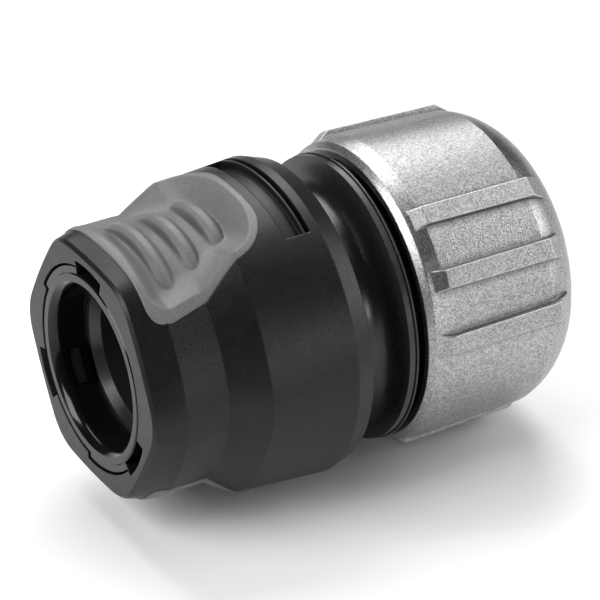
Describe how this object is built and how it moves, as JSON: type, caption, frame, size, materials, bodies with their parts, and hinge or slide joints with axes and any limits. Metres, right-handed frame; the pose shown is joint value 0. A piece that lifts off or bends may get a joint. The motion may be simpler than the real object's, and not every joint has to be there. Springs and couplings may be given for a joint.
{
  "type": "garden hose quick connector",
  "caption": "Quick connector for a garden hose: a sprung release collar with soft grip pads locks on a tap plug, and a ribbed metal nut clamps the hose on a barbed spigot.",
  "frame": {"origin": "on the connector's axis, where the sealing bore of the plug socket starts", "axes": "+X along the axis from the mouth towards the hose, +Z through the upper grip pad, with the connector lying on its side"},
  "size_m": [0.0542, 0.0368, 0.0365],
  "materials": {
    "body_plastic": "smooth black moulded plastic",
    "mouth_plastic": "polished black moulded plastic",
    "claw_plastic": "black acetal",
    "collar_plastic": "fine-textured black moulded plastic",
    "pad_rubber": "satin grey soft-touch rubber",
    "spring_steel": "drawn stainless wire",
    "clamp_plastic": "natural moulded plastic, dark grey",
    "nut_metal": "blasted die-cast aluminium"
  },
  "bodies": {
    "socket": {"connector_body": "body_plastic", "mouth_ring": "mouth_plastic", "return_spring": "spring_steel"},
    "collar": {"release_collar": "collar_plastic", "grip_pad_upper": "pad_rubber", "grip_pad_lower": "pad_rubber"},
    "claw_1": {"locking_claw_1": "claw_plastic"},
    "claw_2": {"locking_claw_2": "claw_plastic"},
    "claw_3": {"locking_claw_3": "claw_plastic"},
    "clamp": {"clamp_ring": "clamp_plastic"},
    "nut": {"hose_nut": "nut_metal"}
  },
  "joints": [
    {"name": "collar_slide", "type": "slide", "parent": "socket", "child": "collar", "axis": [1, 0, 0], "range_m": [0, 0.0042], "stiffness_N_per_m": 800, "springref_m": -0.005, "deforming": ["return_spring"]},
    {"name": "claw_1_slide", "type": "slide", "parent": "socket", "child": "claw_1", "axis": [0, 0, 1], "range_m": [0, 0.00128]},
    {"name": "claw_2_slide", "type": "slide", "parent": "socket", "child": "claw_2", "axis": [0, -0.866, -0.5], "range_m": [0, 0.00128]},
    {"name": "claw_3_slide", "type": "slide", "parent": "socket", "child": "claw_3", "axis": [0, 0.866, -0.5], "range_m": [0, 0.00128]},
    {"name": "nut_travel", "type": "slide", "parent": "socket", "child": "clamp", "axis": [1, 0, 0], "range_m": [-0.00083, 0.00824]},
    {"name": "nut_turn", "type": "hinge", "parent": "clamp", "child": "nut", "pos_m": [0.0384, 0, 0], "axis": [1, 0, 0], "range_deg": [-100, 990]}
  ],
  "couplings": [
    {"joint": "claw_1_slide", "follows": "collar_slide", "ratio": 0.3},
    {"joint": "claw_2_slide", "follows": "collar_slide", "ratio": 0.3},
    {"joint": "claw_3_slide", "follows": "collar_slide", "ratio": 0.3},
    {"joint": "nut_turn", "follows": "nut_travel", "rad_per_m": 2094.4}
  ]
}
